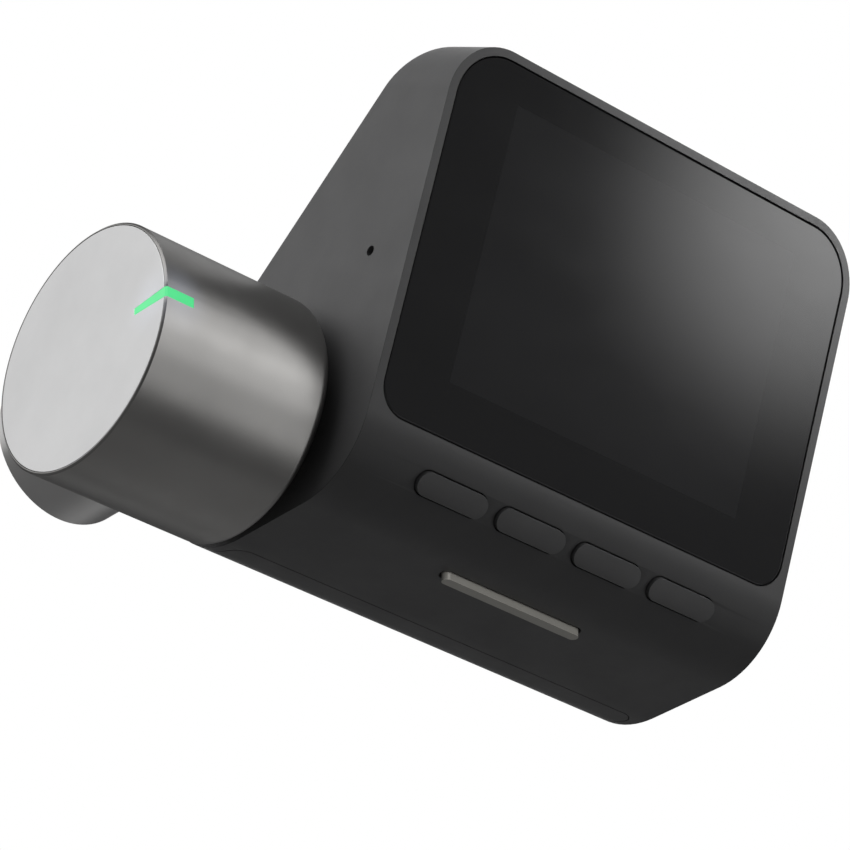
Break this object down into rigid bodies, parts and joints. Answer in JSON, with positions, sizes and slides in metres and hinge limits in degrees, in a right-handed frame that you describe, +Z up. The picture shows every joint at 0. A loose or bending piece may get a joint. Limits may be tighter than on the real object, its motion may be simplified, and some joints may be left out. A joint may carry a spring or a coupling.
{
  "type": "dash camera",
  "caption": "Windscreen dash camera: wedge-shaped screen unit with push buttons and a tilting side barrel that carries the lens.",
  "frame": {"origin": "middle of the land between the two mounting slots, on the slanted windscreen-side face of the front cover", "axes": "+X to the right as the driver sees the screen, +Y forward to the windscreen and square to the screen, +Z up the screen"},
  "size_m": [0.0819, 0.0365, 0.0575],
  "materials": {
    "casing": "fine moulded grain",
    "cover": "fine moulded grain",
    "screen_glass": "polished, black printed border",
    "black_tape": "matt",
    "display": "satin",
    "display_back": "brushed",
    "circuit_board": "solder mask",
    "chip": "moulded",
    "shield": "stamped tin plate",
    "battery_foil": "foil",
    "foam": "foam tape",
    "screw_steel": "machined",
    "black_screw": "blackened",
    "speaker_body": "moulded",
    "bar_metal": "satin",
    "gold_part": "plated",
    "black_rubber": "matt",
    "socket_steel": "stamped",
    "socket_plastic": "moulded",
    "flex_film": "polyimide film",
    "switch_body": "moulded",
    "button": "fine moulded grain",
    "bush_plastic": "turned acetal",
    "spring_steel": "rolled",
    "barrel_metal": "satin metallic coat",
    "cap_metal": "satin silver coat",
    "light_guide": "translucent, lit green",
    "led": "clear resin",
    "tube_metal": "satin metallic coat",
    "bezel": "fine grooves",
    "lens_glass": "coated",
    "lens_barrel_black": "black anodised",
    "filter_glass": "coated"
  },
  "bodies": {
    "case": {"housing": "casing", "front_cover": "cover", "cover_glass": "screen_glass", "glass_adhesive": "black_tape", "lcd_panel": "display", "backlight": "display_back", "main_board": "circuit_board", "processor": "chip", "shield_can": "shield", "memory_chips": "chip", "battery": "battery_foil", "battery_pad": "foam", "board_screws": "screw_steel", "cover_screws": "black_screw", "speaker": "speaker_body", "speaker_bar": "bar_metal", "microphone": "gold_part", "mic_boot": "black_rubber", "card_socket": "socket_steel", "usb_socket": "socket_steel", "camera_socket": "socket_plastic", "board_lead": "flex_film", "button_board": "circuit_board", "switches": "switch_body", "hinge_bush": "bush_plastic"},
    "barrel": {"friction_washer": "bush_plastic", "spring_washer": "spring_steel", "retaining_clip": "spring_steel", "barrel_shell": "barrel_metal", "barrel_cap": "cap_metal", "status_light_guide": "light_guide", "led_board": "circuit_board", "status_led": "led", "lens_tube": "tube_metal", "lens_bezel": "bezel", "front_lens": "lens_glass", "lens_cell": "lens_barrel_black", "rear_lens": "lens_glass", "infrared_filter": "filter_glass", "lens_holder": "chip", "image_sensor": "chip", "sensor_board": "circuit_board", "sensor_screws": "screw_steel", "camera_lead": "flex_film"},
    "button_1": {"button_1": "button"},
    "button_2": {"button_2": "button"},
    "button_3": {"button_3": "button"},
    "button_4": {"button_4": "button"}
  },
  "joints": [
    {"name": "barrel_tilt", "type": "hinge", "parent": "case", "child": "barrel", "pos_m": [-0.03, -0.00092, -0.02716], "axis": [1, 0, 0], "range_deg": [-30, 60]},
    {"name": "button_1_press", "type": "slide", "parent": "case", "child": "button_1", "axis": [0, 0.9048, 0.4258], "range_m": [0, 0.00035], "stiffness_N_per_m": 1500, "springref_m": -0.0001},
    {"name": "button_2_press", "type": "slide", "parent": "case", "child": "button_2", "axis": [0, 0.9048, 0.4258], "range_m": [0, 0.00035], "stiffness_N_per_m": 1500, "springref_m": -0.0001},
    {"name": "button_3_press", "type": "slide", "parent": "case", "child": "button_3", "axis": [0, 0.9048, 0.4258], "range_m": [0, 0.00035], "stiffness_N_per_m": 1500, "springref_m": -0.0001},
    {"name": "button_4_press", "type": "slide", "parent": "case", "child": "button_4", "axis": [0, 0.9048, 0.4258], "range_m": [0, 0.00035], "stiffness_N_per_m": 1500, "springref_m": -0.0001}
  ]
}
